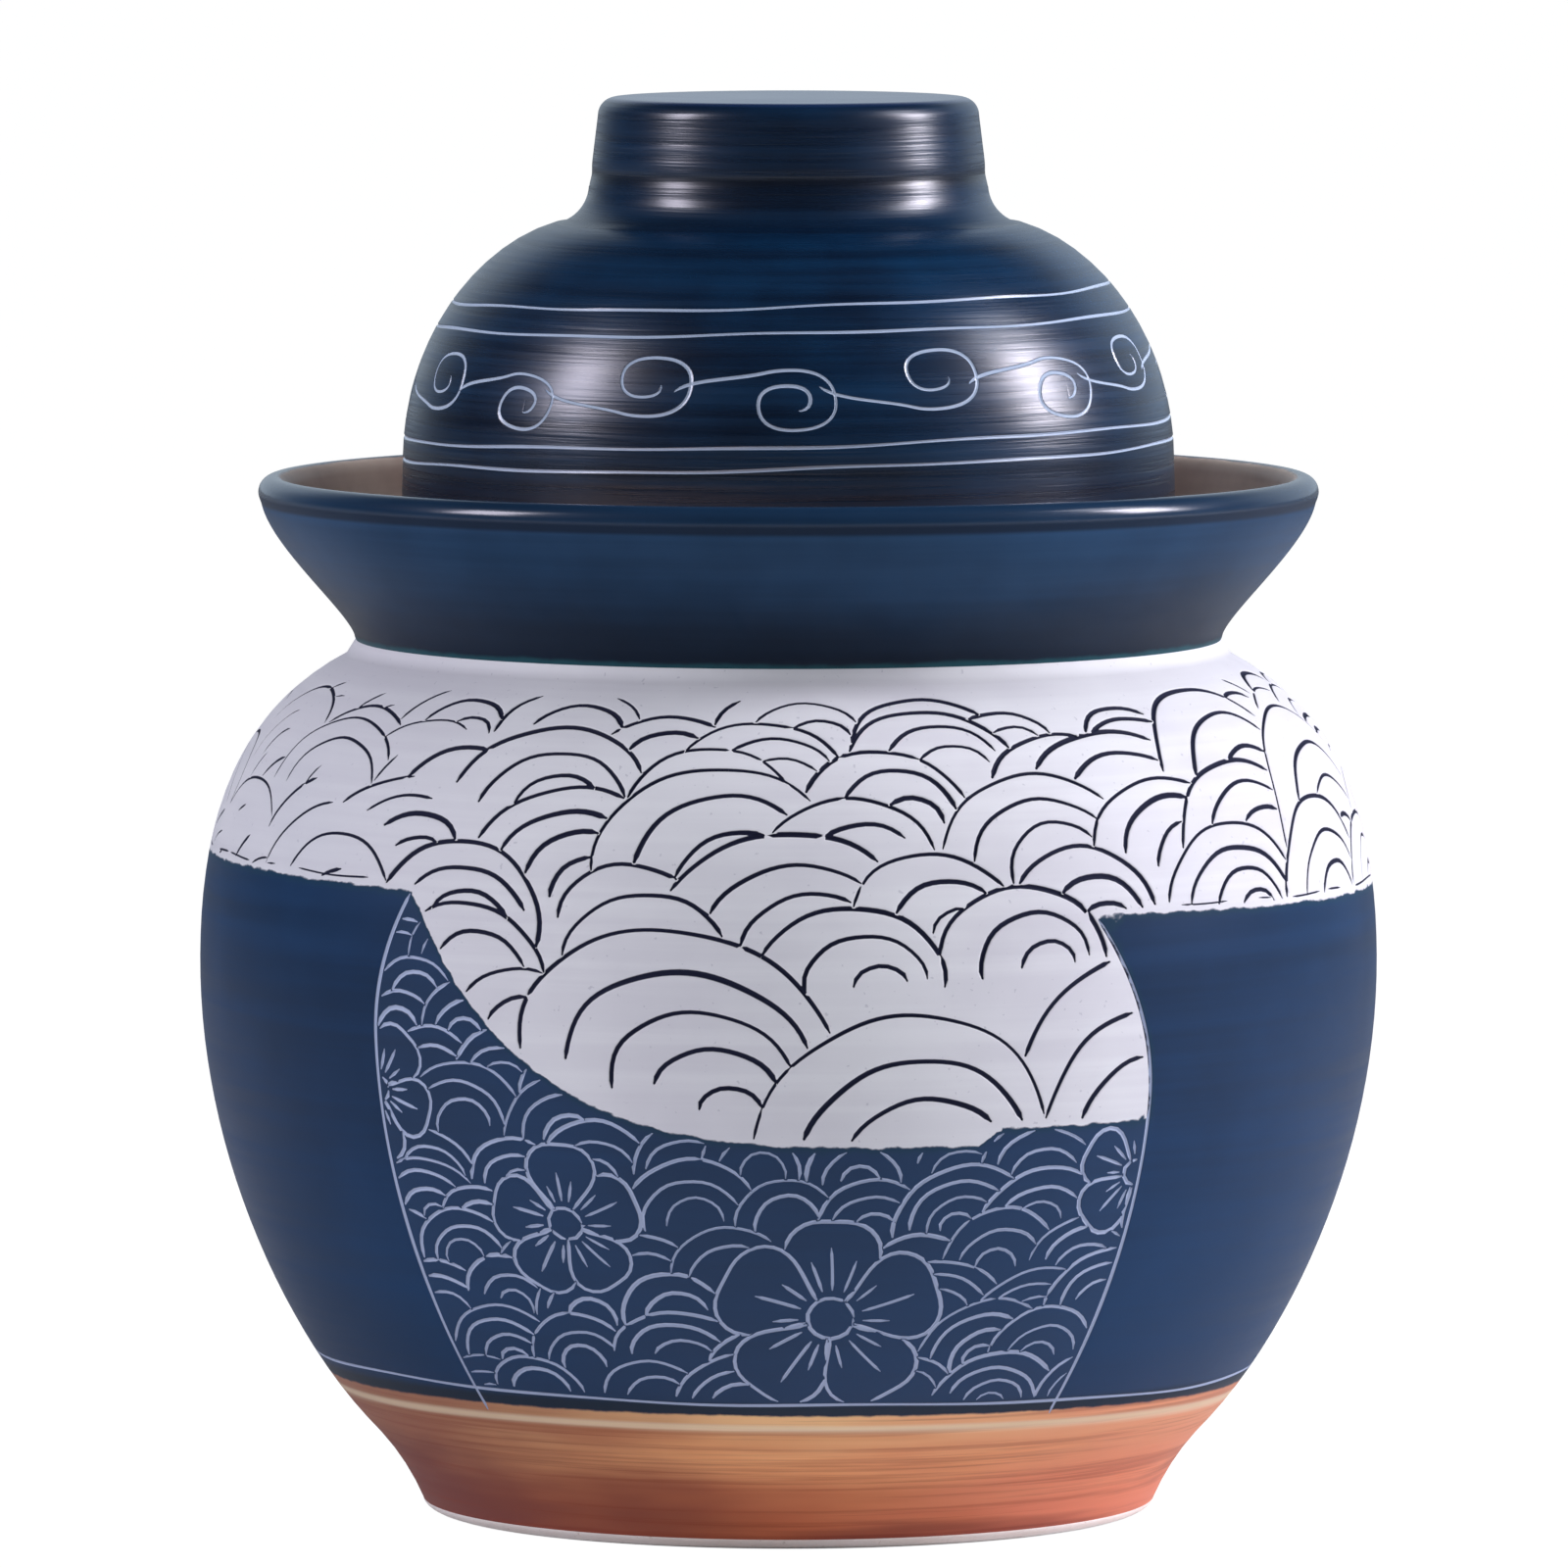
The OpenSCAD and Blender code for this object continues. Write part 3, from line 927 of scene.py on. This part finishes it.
def body_finish():
    """White slip over navy over an iron brown band, with the cut lines in each."""
    f = Finish("brushed_slip_and_glaze")
    brushed = f.noise(1.0, 4, stretch=(6, 6, 300))
    cloudy = f.noise(13.0, 4)
    ragged = f.noise(240.0, 3, stretch=(1, 1, 1.6))
    speck = f.noise(900.0, 1)

    navy = f.mix(f.step(brushed * 0.5 + cloudy, 0.45, 1.05), shade(2, 38, 70), shade(14, 56, 97))
    height = f.along("Z")
    # Painted bounce light: the navy turns lighter towards the foot of the belly, as if lit from the
    # floor below.
    navy = f.mix(f.fall(height, 40, 90) * 0.3, navy, shade(30, 66, 104))
    navy = f.mix(f.step(f.value("panel"), 0.0, 0.5) * 0.25, navy, shade(58, 76, 104))
    streaks = f.step(brushed, 0.35, 0.75)
    white = f.mix(f.step(cloudy + streaks * 0.14, 0.3, 0.8), shade(216, 214, 220), shade(236, 236, 238))
    white = f.mix(f.step(speck, 0.72, 0.78) * 0.3, white, shade(150, 150, 165))
    # The slip on the left side is greyer in mottled patches: partly thin slip, partly painted shade on
    # that side.
    from_left = f.along("X")
    left_shade_and_thin_slip = f.fall(from_left, -112, -40) * f.step(cloudy, 0.3, 0.6)
    white = f.mix(left_shade_and_thin_slip * 0.55, white, shade(184, 186, 196))

    slip = f.value("slip") + (ragged - 0.5) * 1.8
    slip_share = f.step(slip, -0.22, 0.22)
    colour = f.mix(slip_share, navy, white)
    thin_edge = f.step(slip, -1.8, 0.0) * (1 - slip_share)
    colour = f.mix(thin_edge * 0.55, colour, shade(16, 58, 74))

    band = f.value("band")
    wavy = f.noise(1.0, 5, 0.65, stretch=(6, 6, 520))
    wide = f.noise(1.0, 3, stretch=(9, 9, 110))
    blotchy_wobble = f.noise(1.0, 3, stretch=(12, 12, 40))
    # A wobbled place from left to right, which lays painted light and shade across the band.
    across = f.along("X") + (blotchy_wobble - 0.5) * 130
    level = band + (wide - 0.5) * 18 + (blotchy_wobble - 0.5) * 12
    tan = f.mix(f.step(level, -24, -9), shade(206, 118, 80), shade(248, 178, 122))
    tan = f.mix(f.step(level, -10, -2) * 0.7, tan, shade(250, 206, 148))
    tan = f.mix(f.fall(wide, 0.38, 0.52) * 0.3, tan, shade(196, 118, 76))
    # Painted light makes the band lighter and pinker on the right; painted shade makes it darker on the
    # left, deepest low down.
    tan = f.mix(f.step(across, 10, 75) * 0.6, tan, shade(236, 140, 114))
    tan = f.mix(f.fall(across, -80, -15) * 0.78, tan, shade(148, 82, 70))
    low_left = f.fall(level, -24, -8) * f.fall(across, -70, 20)
    tan = f.mix(low_left * 0.6, tan, shade(118, 60, 58))
    tan = f.mix(f.fall(wavy, 0.38, 0.52) * 0.42, tan, shade(150, 68, 48))
    tan = f.mix(f.step(wide, 0.5, 0.66) * 0.65 * f.step(0 - level, 5, 13), tan, shade(126, 56, 50))
    brim = band + wavy * 1.2
    cream = f.step(brim, -3.7, -2.2) * f.fall(brim, -2.0, -0.9)
    tan = f.mix(cream * 0.75, tan, shade(248, 226, 190))
    edge = band + (ragged - 0.5) * 0.8
    dark_strip = f.step(band, -0.5, 0.4) * f.fall(band, 1.6, 3.4)
    colour = f.mix(dark_strip * 0.75, colour, shade(18, 32, 40))
    band_share = f.fall(edge, -0.3, 0.3)
    colour = f.mix(band_share, colour, tan)

    line = f.step(f.value("cut"), 0.15, 0.4)
    line_colour = f.mix(slip_share, shade(178, 190, 216), shade(22, 26, 52))
    colour = f.mix(line, colour, line_colour)
    rough = 0.4 + brushed * 0.16 + slip_share * 0.12 + line * 0.15
    colour, rough = lined_and_bare(f, colour, rough, 1.5, 1.9)
    return f.surface(
        bump=brushed * 0.6 + ragged * 0.3, strength=0.3, distance=0.15 * MM,
        Base_Color=colour, Roughness=rough, Specular_IOR_Level=0.25,
    )


jar_body = jar.finish("jar_body_glazed", body_finish(), body_values)
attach(jar_body, "jar")
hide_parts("jar_body")

# The foot ring
# The ring the jar stands on, turned from the base and wiped clean of glaze so that
# it doesn't stick in the kiln. It is one piece with the body once fired.
foot_width = 12

foot_inner = base_radius - foot_width
foot = Thrown()
foot.plain_wall(join(
    curve(
        (base_radius - 3.6, 0), (base_radius - 1.6, 0.1),
        (base_radius - 0.2, 1.2), (base_radius, 2.0), 6,
    ),
    [(base_radius, foot_height), (foot_inner - 2.9, foot_height)],
    curve(
        (foot_inner - 2.9, foot_height - 0.1), (foot_inner - 2, 1.2),
        (foot_inner - 1, 0.1), (foot_inner + 0.2, 0), 6,
    ),
), (0.02, 0.06), closed=True)


def clay_finish():
    f = Finish("bare_clay")
    clay, rough = bare_clay(f)
    grit = f.noise(600.0, 3)
    return f.surface(bump=grit, strength=0.5, distance=0.2 * MM, Base_Color=clay, Roughness=rough)


foot_ring = foot.finish("foot_ring_clay", clay_finish())
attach(foot_ring, "jar")
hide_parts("foot_ring")

# The mouth wall
# The upright inner wall of the trough, which keeps the water out of the jar. It is
# thrown as a collar, joined over the mouth and glazed brown.
mouth_top, lip_radius = 214, 2


def throwing_rings(outline, low, high, height, pitch):
    """Gives part of an upright outline the faint ridges that fingers leave."""
    z = outline[:, 1] / MM
    share = np.clip((z - low) / 3, 0, 1) * np.clip((high - z) / 3, 0, 1)
    step = np.gradient(outline, axis=0)
    step /= np.hypot(*step.T)[:, None]
    out = np.stack([-step[:, 1], step[:, 0]], 1)
    wave = np.sin(z * 2 * math.pi / pitch) + 0.4 * np.sin(z * 3.7 / pitch + 1) - 1.4
    ridge = height * MM * wave * share
    return outline - out * ridge[:, None]


mouth = Thrown()
collar = join(
    [(mouth_radius, seat_height), (mouth_radius, seat_height + 0.1)],
    [(mouth_radius, z) for z in np.arange(seat_height + 0.6, mouth_top - lip_radius, 0.6)],
    arc((mouth_radius - lip_radius, mouth_top - lip_radius), lip_radius, 0, 90, 6),
    arc((bore_radius + lip_radius, mouth_top - lip_radius), lip_radius, 90, 180, 6),
    [(bore_radius, z) for z in np.arange(mouth_top - lip_radius, seat_height, -0.6)],
    [(bore_radius, seat_height)],
)
mouth.plain_wall(throwing_rings(collar, seat_height, mouth_top - 4, 0.1, 4.2), (0.1, 0.5), closed=True)


def mouth_finish():
    f = Finish("brown_glaze")
    brown, rough = brown_glaze(f)
    rings = f.noise(1.0, 3, stretch=(8, 8, 160))
    return f.surface(bump=rings, strength=0.3, distance=0.3 * MM, Base_Color=brown, Roughness=rough)


mouth_wall = mouth.finish("mouth_wall_glazed", mouth_finish())
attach(mouth_wall, "jar")
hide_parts("mouth_wall_ring")

# The water trough
# The flaring collar that holds the sealing water. It is thrown apart and luted to the
# shoulder, navy outside and over the rim, brown inside.
rim_radius, rim_height, rim_round = 106.4, 208.2, 3.2
trough_floor, trough_foot = 184, 74
rim_centre = (rim_radius - rim_round, rim_height - rim_round)
rim_inner = rim_radius - 2 * rim_round
outside_steps, rim_steps = 48, 20

trough_outline = join(
    [(joint_radius, joint_height)],
    curve(
        (joint_radius + 0.2, joint_height + 0.5), (joint_radius + 0.8, joint_height + 5),
        (rim_radius - 2.5, joint_height + 18.5), (rim_radius - 0.6, rim_height - rim_round - 2.2),
        outside_steps,
    ),
    arc(rim_centre, rim_round, -20, 172, rim_steps),
    curve(
        (rim_inner - 0.3, rim_height - rim_round - 2), (rim_inner - 3, trough_floor + 10),
        (joint_radius + 3, trough_floor + 1), (joint_radius - 3.4, trough_floor), 30,
    ),
    [(trough_foot, trough_floor), (mouth_radius, trough_floor)],
    [(mouth_radius, seat_height), (trough_foot, seat_height - 1.2)],
)
trough = Thrown()
trough.plain_wall(trough_outline, (0.2, 0.9), closed=True)
trough_spots = np.array(trough.points)
# The lining starts a little way in from the ring of points on top of the rim.
top_ring = 1 + outside_steps + 1 + rim_steps // 2 + 1
past_rim = np.hypot(trough_spots[:, 0], trough_spots[:, 1]) / MM - (rim_radius - 1.35 * rim_round)
lining = np.where(np.arange(len(trough_spots)) // ROUND > top_ring, past_rim, 5.0)


def trough_finish():
    f = Finish("navy_glaze_brown_inside")
    brushed = f.noise(1.0, 4, stretch=(6, 6, 300))
    cloudy = f.noise(15.0, 4)
    ragged = f.noise(120.0, 3)
    navy = f.mix(f.step(brushed * 0.6 + cloudy, 0.5, 1.15), shade(15, 49, 79), shade(38, 73, 108))
    height = f.along("Z")
    foot_edge = f.fall(height + ragged * 1.6, joint_height + 1.1, joint_height + 2.2)
    # Painted shade: the navy darkens towards the foot of the trough, whose lower wall faces down.
    pooled_glaze_and_shade = f.fall(height + cloudy * 8, joint_height + 4, joint_height + 27)
    navy = f.mix(pooled_glaze_and_shade * 0.85, navy, shade(4, 14, 28))
    navy = f.mix(foot_edge * 0.8, navy, shade(24, 78, 88))
    rim = f.step(height, rim_height - rim_round - 0.9, rim_height - rim_round + 0.2)
    # Painted shade: a dark line just under the rim bead.
    groove = f.step(height, rim_height - rim_round - 2.8, rim_height - rim_round - 1.8)
    navy = f.mix(groove * (0.8 - rim * 0.35), navy, shade(4, 22, 42))
    brown, brown_rough = brown_glaze(f)
    lined = f.fall(f.value("lining") + (ragged - 0.5) * 1.2, -0.5, 0.5)
    rough = 0.42 + brushed * 0.12
    rough = rough + (brown_rough - rough) * lined
    return f.surface(
        bump=brushed * 0.6 + ragged * 0.2, strength=0.3, distance=0.15 * MM,
        Base_Color=f.mix(lined, navy, brown), Roughness=rough, Specular_IOR_Level=0.1,
        Coat_Weight=(0.1 + rim * 0.75) * (1 - lined), Coat_Roughness=0.17, Coat_IOR=1.6,
    )


water_trough = trough.finish("water_trough_glazed", trough_finish(), {"lining": lining})
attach(water_trough, "jar")
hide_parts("water_trough")

# The lid dome
# A bell thrown upside down and glazed deep navy. A running scroll between two pairs
# of ring lines is cut through the glaze, and the lines run up to the right.
lid_radius, lid_wall = 77.4, 5.5
lid_bottom, dome_height, crown_height = 184, 211, 258.8
knob_radius, knob_fillet, knob_bore = 40, 7, 34

dome_outside = join(
    [(lid_radius + 0.6, lid_bottom), (lid_radius + 0.6, lid_bottom + 3)],
    curve(
        (lid_radius, dome_height), (lid_radius, crown_height - 23),
        (lid_radius - 15.2, crown_height - 4.4), (knob_radius + knob_fillet, crown_height), 60,
    ),
)
dome = Wall(dome_outside)


class Scroll:
    """A wave that runs up into a spiral, turned over at every second place."""

    def __init__(self, wall, turn, level, size, upward):
        self.wall, self.centre = wall, wall.spot(turn, level)
        self.size, self.upward = size, upward

    def line(self):
        """One unbroken line, from its tail on the last wave to the middle of the spiral."""
        flip = 1 if self.upward else -1
        size = self.size * random.uniform(0.92, 1.08)
        turns = random.uniform(1.3, 1.55)
        t = np.linspace(0, 1, 90)
        angle = math.radians(238) + 2 * math.pi * turns * t
        reach = size * (1 - t) ** 0.8 * 0.77 + size * 0.23
        reach = reach * (1 - 0.03 * np.cos(4 * angle + random.uniform(-0.8, 0.8)))
        spiral = np.stack([1.3 * reach * np.cos(angle), 0.9 * reach * np.sin(angle)], 1)
        start, lead = spiral[0], spiral[0] - spiral[1]
        lead = lead / np.hypot(*lead) * size
        far = np.array([-2.9 * size, -0.25 * size])
        tail = curve(far, far + (0.35 * size, -0.35 * size), start + lead * 0.75, start, 40)
        return self.wall.around(self.centre, np.vstack([tail[:-1], spiral]) * (1, flip))


# The ring lines: height and how much higher they run on the right.
lid_rings = ((245.2, 1.8), (240.1, 1.6), (218.3, 2.0), (213.9, 2.0))
lid_ring_width, lid_ring_depth, lid_ring_wobble = 0.82 * MM, 0.3 * MM, 0.2 * MM
scroll_count, scroll_size, scroll_level, scroll_step, scroll_swing = 16, 7.8, 229, 2.3, 1.9
scroll_width, scroll_depth = 0.85 * MM, 0.22 * MM

random.seed(5)
lid_lines = []
for level, swing in lid_rings:
    lid_lines.append(ring_line(
        dome, level * MM, swing * MM, lid_ring_width, lid_ring_depth, lid_ring_wobble, level,
    ))
for k in range(scroll_count):
    turn = 2 * math.pi * (k + random.uniform(-0.07, 0.07)) / scroll_count
    up = k % 2 == 1
    level = (scroll_level + (scroll_step if up else -scroll_step) + scroll_swing * math.sin(turn)) * MM
    scroll = Scroll(dome, turn, level, scroll_size * MM, up)
    lid_lines.append(Cut(scroll.line(), scroll_width, scroll_depth, taper=2 * MM))

lid = Thrown()
lid_low, lid_high = lid.cut_wall(dome, lid_lines, 0.8 * MM, 4.0 * MM, (0.35, 1.0))
lid_outside_count = len(lid.points)
dome_inside = inset(dome_outside / MM, lid_wall)[4:-3][::-2]
dome_inside = dome_inside[dome_inside[:, 0] > knob_bore + 1]
lid.plain_wall(
    join(
        [(knob_radius + knob_fillet, crown_height), (knob_bore, crown_height)],
        [(knob_bore, crown_height - lid_wall - 0.4)], dome_inside,
        [(lid_radius - lid_wall, lid_bottom + 3), (lid_radius - lid_wall, lid_bottom + 0.6)],
        [(lid_radius - lid_wall + 0.6, lid_bottom), (lid_radius - 0.2, lid_bottom)],
        [(lid_radius + 0.6, lid_bottom)],
    ),
    (0.02, 0.33), first=lid_high, last=lid_low,
)
lid_spots = np.array(lid.points)
lid_region = np.where(np.arange(len(lid_spots)) < lid_outside_count, 0.0, 1.0)
lid_region[lid_spots[:, 2] < (lid_bottom + 0.3) * MM] = 2.0


def deep_navy(f):
    """Colour, roughness and brush marks of the glaze on the lid."""
    brushed = f.noise(1.0, 5, stretch=(7, 7, 420))
    fine = f.noise(1.0, 2, stretch=(30, 30, 1500))
    cloudy = f.noise(22.0, 4)
    navy = f.mix(f.step(brushed * 0.8 + cloudy, 0.6, 1.25), shade(2, 20, 43), shade(5, 51, 86))
    marks = brushed * 0.7 + fine * 0.5
    return navy, 0.17 + brushed * 0.12 + fine * 0.1, marks


def lid_finish():
    f = Finish("deep_navy_glaze")
    navy, rough, marks = deep_navy(f)
    height = f.along("Z")
    # Painted shade: the navy darkens towards the foot of the dome.
    pooled_glaze_and_shade = f.fall(height + marks * 6, dome_height - 4, dome_height + 12)
    navy = f.mix(pooled_glaze_and_shade * 0.45, navy, shade(8, 12, 24))
    line = f.step(f.value("cut"), 0.15, 0.4)
    colour = f.mix(line, navy, shade(182, 198, 220))
    colour, rough = lined_and_bare(f, colour, rough, 1.3, 1.8)
    return f.surface(
        bump=marks, strength=0.6, distance=0.22 * MM,
        Base_Color=colour, Roughness=rough, IOR=1.75,
    )


lid_dome = lid.finish("lid_dome_glazed", lid_finish(), {"region": lid_region})
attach(lid_dome, "outer_lid")
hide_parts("lid_dome")

# The lid knob
# A hollow drum thrown apart and joined to the crown of the lid, which doubles as its
# foot when the lid is set down upside down. A crease runs round its waist.
knob_top, knob_edge, knob_under = 284, 3.6, 5.5
knob_taper, knob_foot = 1.8, 46
side_start, side_rise, fillet_radius = 265.8, 14.6, 8.2
crease_height, crease_depth, crease_width = 268.6, 0.22, 1.5

side_z = np.concatenate([
    np.arange(side_start, 267.2, 0.6), np.arange(267.2, 270.9, 0.2), np.arange(271.4, 280.2, 0.8),
])
crease_in = crease_depth * np.exp(-((side_z - crease_height) / crease_width) ** 2)
side_r = knob_radius - knob_taper * (side_z - side_start) / side_rise - crease_in
knob = Thrown()
knob.plain_wall(join(
    [(knob_bore, crown_height), (knob_foot, crown_height - 0.2)],
    arc((knob_radius + fillet_radius, crown_height + 7.9), fillet_radius, 266, 184, 14),
    np.stack([side_r, side_z], 1),
    arc((knob_radius - knob_taper - knob_edge, knob_top - knob_edge), knob_edge, 2, 88, 10),
    [(30, knob_top), (15, knob_top - 0.1), (0, knob_top - 0.1)],
), (0.4, 0.9))
knob.plain_wall(join(
    [(0, knob_top - knob_under), (25, knob_top - knob_under)],
    arc((knob_bore - knob_taper - 4, knob_top - knob_under - 4), 4, 90, 0, 6),
    [(knob_bore - 0.5, 265), (knob_bore, crown_height)],
), (0.1, 0.3))


def knob_finish():
    f = Finish("deep_navy_glaze_knob")
    navy, rough, marks = deep_navy(f)
    height = f.along("Z")
    # The knob's glaze is darker all over, and painted shade darkens it further along the crease.
    crease = f.step(height, crease_height - 3, crease_height)
    crease = crease * f.fall(height, crease_height, crease_height + 2)
    navy = f.mix(0.35 + crease * 0.45, navy, shade(6, 10, 22))
    # Painted reflection: the top face is painted a lighter blue; its glaze is also smoother there.
    top_sheen = f.step(height, knob_top - 0.9, knob_top - 0.2)
    navy = f.mix(top_sheen * 0.5, navy, shade(34, 58, 108))
    rough = rough * (1 - top_sheen * 0.25)
    return f.surface(
        bump=marks, strength=0.6, distance=0.22 * MM,
        Base_Color=navy, Roughness=rough, IOR=1.75,
    )


lid_knob = knob.finish("lid_knob_glazed", knob_finish())
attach(lid_knob, "outer_lid")
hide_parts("lid_knob")

# The inner lid
# A flat disc with a short plug that keeps it centred on the mouth. It is thrown off
# the hump and glazed brown, with the edge that rests on the mouth left bare.
inner_radius, inner_low, inner_high, inner_crown = 60, 214, 219, 223
button_radius, button_neck, button_top = 13, 9, 236

cover = Thrown()
cover.plain_wall(join(
    [(0, inner_low), (46.5, inner_low)],
    [(46.5, inner_low - 7), (47.5, inner_low - 8), (52.5, inner_low - 8), (53.5, inner_low - 7)],
    [(53.5, inner_low), (inner_radius - 1.2, inner_low)],
    arc((inner_radius - 1.2, inner_low + 1.2), 1.2, 280, 360, 5),
    arc((inner_radius - 1.6, inner_high - 1.6), 1.6, 0, 88, 6),
    curve(
        (inner_radius - 2.5, inner_high), (40, inner_high + 1.2),
        (26, inner_crown), (button_radius, inner_crown), 16,
    ),
    [(button_radius, inner_crown), (0, inner_crown)],
), (0.1, 0.9))


def cover_finish():
    f = Finish("brown_glaze_cover")
    pooled_glaze_and_shade = f.noise(34.0, 4)
    radial = f.noise(1.0, 2, stretch=(3, 3, 120))
    brown = f.mix(f.step(pooled_glaze_and_shade + radial * 0.4, 0.45, 0.95), shade(84, 54, 40), shade(150, 104, 74))
    return f.surface(
        bump=pooled_glaze_and_shade, strength=0.25, distance=0.4 * MM, Base_Color=brown, Roughness=0.26 + pooled_glaze_and_shade * 0.2,
    )


inner_lid = cover.finish("inner_lid_glazed", cover_finish())
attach(inner_lid, "inner_cover")
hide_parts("inner_lid")

# The inner lid button
# A small mushroom knob pressed on the middle of the inner lid before firing, to lift
# it by.
button = Thrown()
button.plain_wall(join(
    [(0, inner_crown), (button_neck + 2.4, inner_crown)],
    curve(
        (button_neck + 2.4, inner_crown), (button_neck, inner_crown + 1),
        (button_neck, 227), (button_radius - 1.5, 230), 10,
    ),
    curve(
        (button_radius - 1.5, 230), (button_radius, 231.5),
        (button_radius, 233.5), (button_radius - 2, 234.8), 10,
    ),
    curve((button_radius - 2, 234.8), (8, button_top - 0.1), (4, button_top), (0, button_top), 8),
), (0.1, 0.9))
inner_button = button.finish("inner_lid_button_glazed", cover_finish())
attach(inner_button, "inner_cover")
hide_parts("inner_lid_button")

# The floor and the light
# A white sweep under soft boxes at the left and the right, in a room that the glaze
# sees as white behind the jar and dim in front of it.
floor_reach, floor_level = 30.0, -0.05 * MM
corners = [(-1, -1), (1, -1), (1, 1), (-1, 1)]
floor_spots = [(x * floor_reach, y * floor_reach, floor_level) for x, y in corners]
floor_mesh = bpy.data.meshes.new("floor")
floor_mesh.from_pydata(floor_spots, [], [(0, 1, 2, 3)])
floor = bpy.data.objects.new("floor", floor_mesh)
bpy.context.scene.collection.objects.link(floor)


def floor_finish():
    f = Finish("white_floor")
    path = f.node("LightPath", out="Is Camera Ray")
    plain = f.node("BsdfPrincipled", Base_Color=(0.8, 0.8, 0.8, 1), Roughness=0.9)
    glow = f.node("Emission", Color=(1, 1, 1, 1), Strength=1.14)
    f.node("OutputMaterial", Surface=f.node("MixShader", i0=path * 0.85, i1=plain, i2=glow))
    return f.material


floor_mesh.materials.append(floor_finish())


lamp_distance, lamp_aim = 1.3, 0.15


def soft_box(name, azimuth, elevation, width, height, watts, mirrored=True, tint=(0.94, 0.94)):
    """A rectangular lamp that faces the middle of the jar, and may miss reflections."""
    lamp = bpy.data.lights.new(name, "AREA")
    lamp.color = (*tint, 1.0)
    lamp.shape, lamp.size, lamp.size_y, lamp.energy = "RECTANGLE", width, height, watts
    holder = bpy.data.objects.new(name, lamp)
    a, e = math.radians(azimuth), math.radians(elevation)
    out = Vector((math.sin(a) * math.cos(e), -math.cos(a) * math.cos(e), math.sin(e)))
    holder.location = Vector((0, 0, lamp_aim)) + out * lamp_distance
    holder.rotation_euler = (-out).to_track_quat("-Z", "Y").to_euler()
    holder.visible_glossy = mirrored
    bpy.context.scene.collection.objects.link(holder)


soft_box("left_fill", -72, 33, 0.8, 0.9, 2.1, False)
soft_box("left_box", -71, 31, 0.42, 0.75, 1.5, tint=(0.86, 0.88))
soft_box("left_core", -71, 30, 0.3, 0.44, 4.6, tint=(0.9, 0.84))
soft_box("right_fill", 90, 33, 0.8, 0.9, 6.9, False)
soft_box("right_box", 86, 30, 0.42, 0.9, 5.0, tint=(0.86, 0.88))
soft_box("right_core", 85, 27, 0.28, 0.46, 7.6, tint=(0.94, 0.88))

room_light, backdrop_level = 0.3, 1.15
room_front, room_left, room_back = 0.02, 0.14, 0.69
light_tint, mirror_tint = (0.88, 0.94, 1, 1), (0.74, 0.87, 1, 1)


def studio():
    """White to the camera, plain grey to the light, and to reflections a white sheet
    behind the jar and a dim room before it."""
    world = bpy.data.worlds.new("studio")
    bpy.context.scene.world = world
    f = Finish("studio", world)

    def share(switch, one, two):
        """One value where the switch is 0 and the other where it is 1."""
        return f.node("Mix", i0=switch, i2=one, i3=two)

    def rising(axis, low, high):
        """0 to 1 between two places along an axis of the sky."""
        sky = f.node("TexCoord", out="Generated")
        return f.step(f.node("SeparateXYZ", Vector=sky, out=axis), low, high)

    sheet = share(rising("X", -0.8, -0.3), room_left, room_back)
    sheet = share(rising("Z", 0.35, 0.68), sheet, room_front)
    gloss = share(rising("Y", 0.35, 0.8), room_front, sheet)
    mirrored = f.node("LightPath", out="Is Glossy Ray")
    seen = f.node("LightPath", out="Is Camera Ray")
    level = share(seen, share(mirrored, room_light, gloss), backdrop_level)
    tint = f.mix(mirrored, light_tint, mirror_tint)
    f.node("OutputWorld", Surface=f.node("Background", Color=tint, Strength=level))


studio()

bpy.context.scene.view_settings.view_transform = "Standard"
